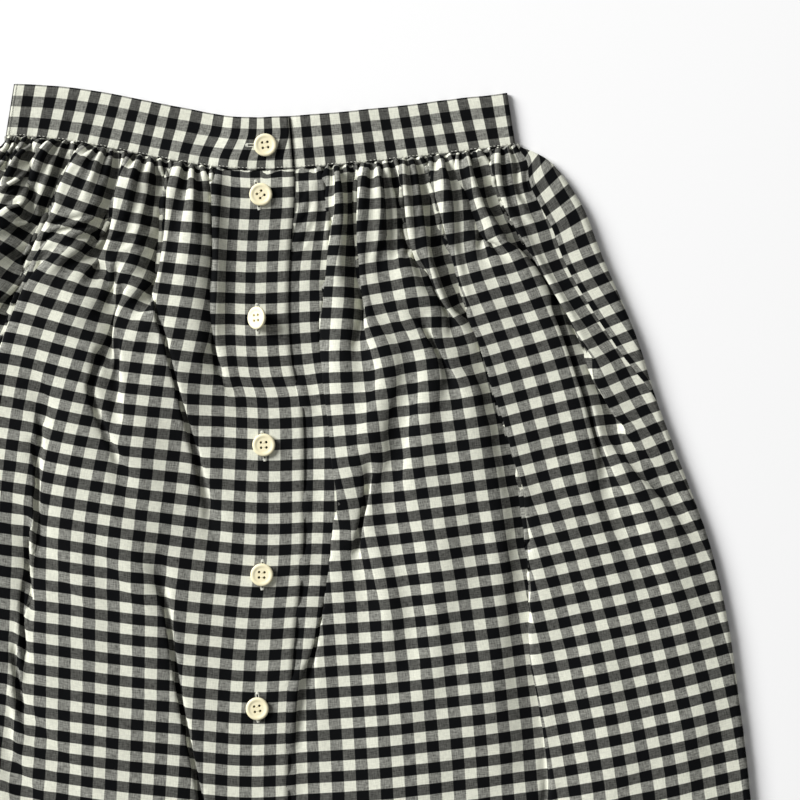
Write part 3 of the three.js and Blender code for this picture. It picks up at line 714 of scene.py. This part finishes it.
def back_panel(v):
    """The back, flat underneath, carried up round both sides to the side seams."""
    arcs = {}
    for side in (-1, 1):
        edge = side_frame(side, v)
        _, _, radius, run, seam = edge
        total = np.maximum(run + radius * math.pi, seam + 3)
        share = np.linspace(0, 1, SIDE_COLUMNS + 5)
        q = (seam + SEAM_GAP)[:, None] + (total - seam - SEAM_GAP)[:, None] * share
        arcs[side] = wrap(edge, q), q - seam[:, None]
    arc_l, q_l = arcs[-1]
    arc_r, q_r = arcs[1]
    left, right = arc_l[:, -1], arc_r[:, -1]
    t = np.linspace(0, 1, BACK_COLUMNS + 2)[1:-1]
    T, Vg = np.meshgrid(t, v)
    place = 2 * T - 1
    x = left[:, None, 0] * (1 - T) + right[:, None, 0] * T
    edge_y = np.where(place < 0, left[:, None, 1], right[:, None, 1])
    seam_edge_y = seam_rise(np.sign(place) * BAND_HALF) - Vg
    y = seam_rise(BAND_HALF * place) - Vg + (edge_y - seam_edge_y) * np.abs(place) ** 2.2
    wave = np.cos(math.tau * BACK_GATHERS * T + 1.6 * waves(31, T * 600, Vg * 0.3, 90))
    broad = np.cos(math.tau * BACK_WIDE_GATHERS * T + 2 * waves(33, T * 600, Vg * 0.3, 150))
    edge_fade = smooth(0, 0.04, T) * smooth(0, 0.04, 1 - T)
    lift = 1.5 * (0.5 + 0.5 * wave) * np.exp(-Vg / 34)
    lift += 0.8 * (0.5 + 0.5 * broad) * np.exp(-(Vg / 120) ** 2) * smooth(0, 20, Vg)
    middle = np.stack([x, y, 0.05 + edge_fade * lift], -1)
    P = np.concatenate([arc_l, middle, arc_r[:, ::-1]], 1)
    span = BACK_WIDTH - q_l[:, -1:] - q_r[:, -1:]
    U = np.concatenate([q_l, q_l[:, -1:] + span * T, (BACK_WIDTH - q_r)[:, ::-1]], 1) + 6.0
    return P, U, np.repeat(v[:, None], P.shape[1], 1)


def band_path():
    """Stations round the waistband: x and outer height, from the underlap end to the overlap end."""
    low, cloth = 0.15, 1.95
    first = low + 2 * cloth + 0.2
    second = first + cloth + 0.25
    radius = (first - low) / 2
    reach = BAND_HALF - radius
    angles = np.radians(np.linspace(90, -90, TURN_STATIONS))
    x = [np.linspace(UNDERLAP_END, reach - 1, UNDER_STATIONS), reach + radius * np.cos(angles),
         np.linspace(reach - 1, -reach + 1, BACK_STATIONS), -reach - radius * np.cos(angles[::-1]),
         np.linspace(-reach + 1, -40, OVER_STATIONS), np.linspace(-38, 21.5, LAP_STATIONS)]
    centre = low + radius
    under = first + 1.3 * smooth(22, 27, x[0]) * (1 - smooth(45, 90, x[0]))
    z = [under, centre + radius * np.sin(angles), np.full(BACK_STATIONS, low),
         centre + radius * np.sin(angles[::-1]), np.full(OVER_STATIONS, first),
         first + (second - first) * smooth(-38, -21, x[5])]
    return np.concatenate(x), np.concatenate(z), cloth


def band_weave(x, run, up, station):
    """Cloth coordinates of the waistband. In front, the check's columns are set by their place."""
    over = station >= UNDER_STATIONS + TURN_STATIONS + BACK_STATIONS + TURN_STATIONS
    checks = np.array([-62.3 / 13.4, 0, 9, 10, 11, 12, 13.7])
    left = np.interp(x, [-200, -138.3, -18.2, -5.6, 6.9, 18.2, 40], checks * BAND_CHECK_ACROSS)
    right = x - 26.4
    last = UNDER_STATIONS - 1
    turned = right[..., last, None] + run - run[..., last, None]
    pulled = 6.6 * smooth(0.1, 0.75, up) * smooth(-70, -20, x)
    u = np.where(station <= last, right, np.where(over, left - pulled, turned))
    high = BAND_HEIGHT * up
    return u, high - 2.7 - 2.4 * np.exp(-high / 2.4)


def waistband():
    """The band's points, their heights above its seam, its cloth coordinates and its thickness."""
    x, z, cloth = band_path()
    run = np.concatenate([[0], np.cumsum(np.hypot(np.diff(x), np.diff(z)))])
    up = np.concatenate([[0.0, 0.012], np.linspace(0.04, 0.96, 15), [0.988, 1.0]])
    X, Up = np.meshgrid(x, up)
    Z = np.repeat(z[None], len(up), 0).copy()
    S = np.repeat(run[None], len(up), 0)
    front = smooth(2.5, 3.5, Z)
    pucker = 0.5 * np.cos(math.tau * S / 6.8 + 2 * waves(12, S, 0 * S, 40)) * np.exp(-Up / 0.16)
    soft = 0.35 * waves(14, S, Up * 35, 70) + 0.2 * waves(15, S, Up * 35, 26)
    rolled = -0.5 * (np.exp(-Up / 0.02) + np.exp(-(1 - Up) / 0.02))
    Z += (pucker * 0.7 + soft * np.sin(math.pi * np.clip(Up, 0, 1)) + rolled) * front
    slope = (seam_rise(X + 2) - seam_rise(X - 2)) / 4 * smooth(BAND_HALF, BAND_HALF - 30, np.abs(X))
    y = seam_rise(X) + BAND_HEIGHT * Up + 0.35 * waves(16, S, 0 * S, 55) * Up
    across = X * (1 - BAND_TAPER * Up) - BAND_HEIGHT * Up * slope
    P = np.stack([across, y, Z], -1)[::-1]
    U, V = band_weave(X, S, Up, np.arange(len(x))[None])
    return P, (BAND_HEIGHT * Up)[::-1], np.stack([U, V], -1)[::-1], cloth


# ---- sewing -----------------------------------------------------------------------------------
def on_cloth(sheet, u, v):
    """Points and upward normals where the cloth coordinates u (across) and v (down) lie."""
    P, U, V = sheet
    n = grid_normals(P)
    n *= np.sign(n[..., 2:3] + 1e-9)
    rows = V[:, 0]
    at = np.clip(np.interp(v, rows, np.arange(len(rows))), 0, len(rows) - 1.001)
    found = []
    for a, uu in zip(at, u):
        r = int(a)
        pair = []
        for row in (r, r + 1):
            order = slice(None) if U[row, -1] > U[row, 0] else slice(None, None, -1)
            pair.append([np.interp(uu, U[row, order], grid[row, order, k])
                         for grid in (P, n) for k in range(3)])
        found.append(np.array(pair[0]) * (r + 1 - a) + np.array(pair[1]) * (a - r))
    found = np.array(found)
    return found[:, :3], found[:, 3:] / np.linalg.norm(found[:, 3:], axis=1, keepdims=True)


class Sewing:
    """Collects stitches, each a short thread with sunk ends, into one mesh."""

    def __init__(self, name, material):
        self.name, self.material = name, material
        self.verts, self.faces = [], []

    def stitch(self, a, b, up, width, sink=0.25):
        a, b, up = (np.array(value, float) for value in (a, b, up))
        along = b - a
        length = np.linalg.norm(along) + 1e-9
        along /= length
        across = np.cross(up, along)
        across /= np.linalg.norm(across) + 1e-9
        up = np.cross(along, across)
        start = len(self.verts)
        rings = ((0.0, -sink, 0.5), (0.12, 0.0, 0.9), (0.5, 0.12, 1.0), (0.88, 0.0, 0.9),
                 (1.0, -sink, 0.5))
        for share, lift, size in rings:
            centre = a + along * length * share + up * lift * width * 2
            for k in range(5):
                angle = math.tau * k / 5
                spoke = across * math.cos(angle) + up * math.sin(angle)
                self.verts.append(centre + size * width / 2 * spoke)
        for ring in range(len(rings) - 1):
            for k in range(5):
                p, q = start + ring * 5 + k, start + ring * 5 + (k + 1) % 5
                self.faces.append((p, p + 5, q + 5, q))
        self.faces.append([start + k for k in range(5)])
        self.faces.append([start + 5 * (len(rings) - 1) + k for k in range(5)][::-1])

    def run(self, points, normals, length, gap, width, lift=0.05, wander=0.0):
        """Running stitches along a line of closely spaced points."""
        along = np.concatenate([[0], np.cumsum(np.linalg.norm(np.diff(points, axis=0), axis=1))])
        places = np.arange(0.5, along[-1] - length, length + gap)
        sway = wander * waves(71, places, 0 * places, 9) if wander else np.zeros(len(places))
        for place, off in zip(places, sway):
            ends = [np.array([np.interp(at, along, points[:, k]) for k in range(3)])
                    for at in (place, place + length)]
            up = np.array([np.interp(place, along, normals[:, k]) for k in range(3)])
            side = np.cross(up, ends[1] - ends[0])
            side /= np.linalg.norm(side) + 1e-9
            self.stitch(ends[0] + up * lift + side * off, ends[1] + up * lift - side * off, up, width)

    def build(self):
        """The mesh, carried into the frame."""
        return add_object(self.name, to_frame(np.array(self.verts)).tolist(), self.faces, self.material)


def buttonhole(white, slit, centre, turn, height):
    """Satin stitches round a slit, whose gap is a strip of painted shade, and a bar tack at each end.
    height(x, y) is the cloth's top.
    """
    c, s = math.cos(math.radians(turn)), math.sin(math.radians(turn))

    def place(across, along, lift):
        x = centre[0] + across * c + along * s
        y = centre[1] - across * s + along * c
        return np.array([x, y, height(x, y) + lift])

    up = (0, 0, 1)
    half = BUTTONHOLE_HALF
    for along in np.arange(-half, half + 0.01, 0.46):
        outer = 1.3 + 0.12 * math.sin(along * 7.3)
        for sign in (-1, 1):
            white.stitch(place(sign * 0.45, along, 0.12), place(sign * outer, along + 0.1, 0.1), up, 0.46)
    for end in (-1, 1):
        for k in range(4):
            along = end * (half + 0.1 + 0.42 * k)
            reach = 1.45 - 0.12 * k
            white.stitch(place(-reach, along, 0.2), place(reach, along + 0.05, 0.2), up, 0.5)
    # The slit: a dark strip of painted shade lying just above the cloth between the stitches.
    start = len(slit.verts)
    for along, wide in ((-half, 0.12), (-half * 0.5, 0.42), (half * 0.5, 0.42), (half, 0.12)):
        for sign in (-1, 1):
            slit.verts.append(place(sign * wide, along, 0.16))
    for k in range(3):
        a = start + 2 * k
        slit.faces.append((a, a + 1, a + 3, a + 2))


# ---- buttons ----------------------------------------------------------------------------------
HOLE_OFFSET = 1.75
HOLE_RADIUS = 0.85
BUTTON_MIDDLE = 1.3
BUTTON_PROFILE = [
    (0, 0.15), (4.6, 0.12), (5.9, 0.0), (6.8, 0.2), (7.4, 0.75), (7.58, 1.3), (7.52, 1.85), (7.3, 2.25),
    (6.95, 2.48), (6.5, 2.58), (6.1, 2.6), (5.7, 2.55), (5.3, 2.42), (4.9, 2.28), (4.5, 2.2), (4.2, 2.18),
    (0, 2.18)]


def round_mesh(profile, sides, centre=(0, 0)):
    """Vertices and faces of a profile turned about z; it starts and ends on the axis."""
    verts, faces = [], []
    rings = []
    for radius, z in profile:
        if radius == 0:
            rings.append([len(verts)])
            verts.append((centre[0], centre[1], z))
        else:
            rings.append(list(range(len(verts), len(verts) + sides)))
            verts += [(centre[0] + radius * math.cos(math.tau * k / sides),
                       centre[1] + radius * math.sin(math.tau * k / sides), z) for k in range(sides)]
    for low, high in zip(rings, rings[1:]):
        for k in range(sides):
            j = (k + 1) % sides
            if len(low) == 1:
                faces.append((low[0], high[j], high[k]))
            elif len(high) == 1:
                faces.append((low[k], low[j], high[0]))
            else:
                faces.append((low[k], low[j], high[j], high[k]))
    return verts, faces


def button_mesh():
    """One button, about the middle of its thickness, with four holes cut through."""
    body = add_object("button_blank", *round_mesh(BUTTON_PROFILE, 56))
    verts, faces = [], []
    for sx in (-1, 1):
        for sy in (-1, 1):
            profile = [(0, -1), (HOLE_RADIUS, -1), (HOLE_RADIUS, 1.95), (HOLE_RADIUS + 0.2, 2.3), (0, 2.3)]
            hole = round_mesh(profile, 16, (sx * HOLE_OFFSET, sy * HOLE_OFFSET))
            faces += [tuple(i + len(verts) for i in face) for face in hole[1]]
            verts += hole[0]
    cutter = add_object("button_cutter", verts, faces)
    cut = body.modifiers.new("holes", "BOOLEAN")
    cut.operation = "DIFFERENCE"
    cut.solver = "EXACT"
    cut.object = cutter
    bpy.context.view_layer.update()
    shaped = body.evaluated_get(bpy.context.evaluated_depsgraph_get())
    mesh = bpy.data.meshes.new_from_object(shaped)
    for obj in (body, cutter):
        bpy.data.objects.remove(obj)
    mesh.polygons.foreach_set("use_smooth", np.ones(len(mesh.polygons), bool))
    mesh.set_sharp_from_angle(angle=math.radians(38))
    mesh.materials.clear()
    mesh.materials.append(IVORY)
    mesh.transform(Matrix.Translation((0, 0, -BUTTON_MIDDLE)))
    mesh.transform(Matrix.Scale(MM, 4))
    return mesh


def button_threads(name):
    """A bar of thread between each pair of holes, and the shank of thread under the button."""
    sewing = Sewing(name, BUTTON_THREAD)
    for sy in (-1, 1):
        sewing.stitch((-HOLE_OFFSET + 0.3, sy * (HOLE_OFFSET - 0.35), 0.82),
                      (HOLE_OFFSET - 0.3, sy * (HOLE_OFFSET - 0.35), 0.82), (0, 0, 1), 0.36, sink=1.6)
    for sx in (-1, 1):
        for sy in (-1, 1):
            sewing.stitch((sx * HOLE_OFFSET, sy * HOLE_OFFSET, -0.3), (sx * 1.2, sy * 1.2, -2.0),
                          (1, 0, 0), 0.9, 0)
    return sewing


# ---- build ------------------------------------------------------------------------------------
def dress(piece, node):
    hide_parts(node)
    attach(piece, "root")


def front_weave(side, U, V):
    near = 1 - smooth(60, 300, V)
    if side > 0:
        start = 31.3
        drawn = 0.25 * (np.clip(U, 31, 50) - 31) - 1.5 - 5 * (1 - smooth(15, 75, V))
    else:
        start = 1.5
        drawn = 0.07 * np.clip(U, 3, 30) - 1.7 + 0.21 * (np.clip(U, -LAP, 3) - 3)
    pucker = 4.4 * np.exp(-(V / 3.2) ** 2) * (1 + 0.9 * waves(50 + side, U, 0 * U, 11))
    sunk = 4 * (1 - smooth(20, 76, V)) * (1 - smooth(40, 90, U)) if side > 0 else 0
    return np.stack([U - start + near * drawn, -(V - 8.3 - sunk - pucker)], -1)


fronts = {}
sheets = {}
for side, name, node in ((1, "cloth_front_underlap", "front_panel_underlap"),
                         (-1, "cloth_front_overlap", "front_panel_overlap")):
    P, U, V = with_side(*front_panel(side), side, row_places())
    if side < 0:
        P, U, V = P[:, ::-1], U[:, ::-1], V[:, ::-1]
    fronts[side] = (P, U, V)
    sheets[side] = shell(name, P, front_weave(side, U, V), SHELL, GINGHAM)
    dress(sheets[side], node)

rows = row_places()
P, U, V = back_panel(np.concatenate([rows[:-1:2], rows[-1:]]))
back = shell("cloth_back", P, np.stack([U, -V], -1), SHELL, GINGHAM, upward=-1)
dress(back, "back_panel")

band_points, band_up, weave, cloth = waistband()
band = shell("cloth_waistband", band_points, weave, cloth, BAND_CHECK, columns=BAND_FACE)
dress(band, "waistband")


def band_line(height, columns):
    """Points and outward normals along the waistband at a height above its seam."""
    P, up = band_points, band_up
    n = grid_normals(P)
    n *= np.sign(n[:, BAND_FACE, 2].mean())
    line, facing = [], []
    for column in columns:
        order = np.argsort(up[:, column])
        line.append([np.interp(height, up[order, column], P[order, column, k]) for k in range(3)])
        facing.append([np.interp(height, up[order, column], n[order, column, k]) for k in range(3)])
    return np.array(line), np.array(facing)


def lap_top(x, y):
    """Height of the placket's upper face."""
    return float(table(LAP_HEIGHT, -y))


def band_top(x, y):
    """Height of the waistband's overlapping end at a place in front."""
    over = band_points[:, -LAP_STATIONS:]
    nearest = np.argmin((over[..., 0] - x) ** 2 + (over[..., 1] - y) ** 2)
    return float(over[..., 2].ravel()[nearest])


def sew_button(name, place):
    """Threads through a button's holes; the shank under it, seen through the holes, takes the second slot,
    a near-black painted shade in place of the thread's own colour.
    """
    sewing = button_threads(name + "_thread")
    verts = (np.array(sewing.verts) * MM).tolist()
    threads = add_object(sewing.name, verts, sewing.faces, BUTTON_THREAD, PAINTED_SHADE)
    # The shank faces take slot 1, the near-black painted shade.
    slots = [int(k >= 2 * STITCH_FACES) for k in range(len(sewing.faces))]
    threads.data.polygons.foreach_set("material_index", slots)
    threads.matrix_world = place
    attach(threads, "root")


def sew():
    """Seam stitching, hems, buttonholes and buttons."""
    seam = Sewing("stitching_waist", WHITE_THREAD)
    seam.run(*band_line(1.5, range(band_points.shape[1])), 1.5, 1.1, 0.42, lift=0.0, wander=0.25)
    seam.verts = [np.array([x, y, max(z, 0.02)]) for x, y, z in seam.verts]
    hems = {}
    for side, name in ((1, "stitching_underlap_hem"), (-1, "stitching_overlap_hem")):
        hem = Sewing(name, WHITE_THREAD)
        u = side * np.arange(lap_end(side) + 1, PANEL_HALF, 1.2)
        line = on_cloth(fronts[side], u, np.full(len(u), SKIRT_LENGTH - HEM_DEPTH))
        hem.run(*line, 2.0, 1.0, 0.32)
        hems[side] = hem.build()
    white = Sewing("buttonhole_stitching", WHITE_THREAD)
    # Dark strips of painted shade in the buttonhole slits.
    slit = Sewing("buttonhole_slit_painted_shade", PAINTED_SHADE)
    round_button = button_mesh()
    for name, turn, lean, hole, hole_turn in BUTTONS:
        low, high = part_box(name)
        middle = (np.array(low) + np.array(high)) / 2
        x, y = middle[0] / MM, middle[1] / MM - SHIFT_Y
        top = band_top if name == "button_1" else lap_top
        buttonhole(white, slit, (x + hole[0], y + hole[1]), hole_turn, top)
        place = (Matrix.Translation(Vector(middle)) @ Matrix.Rotation(math.radians(lean), 4, "Y")
                 @ Matrix.Rotation(math.radians(turn), 4, "Z"))
        disc = link_object(name + "_ivory", round_button)
        disc.matrix_world = place
        dress(disc, name)
        sew_button(name, place)
    return seam.build(), hems, white.build(), slit.build()


seam, hems, white, slit = sew()
for piece in (seam, white, slit, *hems.values()):
    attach(piece, "root")


# ---- stage ------------------------------------------------------------------------------------
def lay_floor():
    """A pale floor, a hair below the skirt so that the two don't share a plane."""
    material = Nodes("floor")
    material.bsdf.inputs["Base Color"].default_value = (0.94, 0.94, 0.94, 1)
    material.bsdf.inputs["Roughness"].default_value = 0.9
    half, z = 6.0, -0.0002
    corners = [(-half, -half, z), (half, -half, z), (half, half, z), (-half, half, z)]
    add_object("floor", corners, [(0, 1, 2, 3)], material.material)


def light_studio():
    """A pale world, and one large soft light low on the left beyond the waist."""
    world = bpy.data.worlds.new("studio")
    bpy.context.scene.world = world
    world.use_nodes = True
    background = next(n for n in world.node_tree.nodes if n.type == "BACKGROUND")
    background.inputs[0].default_value = (1, 1, 1, 1)
    background.inputs[1].default_value = 0.22
    light = bpy.data.lights.new("key", "AREA")
    light.shape = "SQUARE"
    light.size = 4.4
    light.energy = 1560
    key = link_object("key", light)
    key.location = (-7.0, 4.2, 4.4)
    key.rotation_euler = (-key.location).to_track_quat("-Z", "Y").to_euler()


def place_camera():
    """Straight above the skirt, framed on its waist."""
    camera = bpy.data.cameras.new("camera")
    camera.sensor_width = 36
    camera.lens = 100
    camera.clip_end = 50
    camera.clip_start = 0.01
    view = link_object("camera", camera)
    height = PIXEL * PICTURE * MM * camera.lens / camera.sensor_width
    view.location = (PIXEL * PICTURE_ACROSS * MM, (SHIFT_Y - PIXEL * PICTURE_DOWN) * MM, height + 0.008)
    bpy.context.scene.camera = view


bpy.context.scene.view_settings.view_transform = "Standard"
lay_floor()
light_studio()
place_camera()
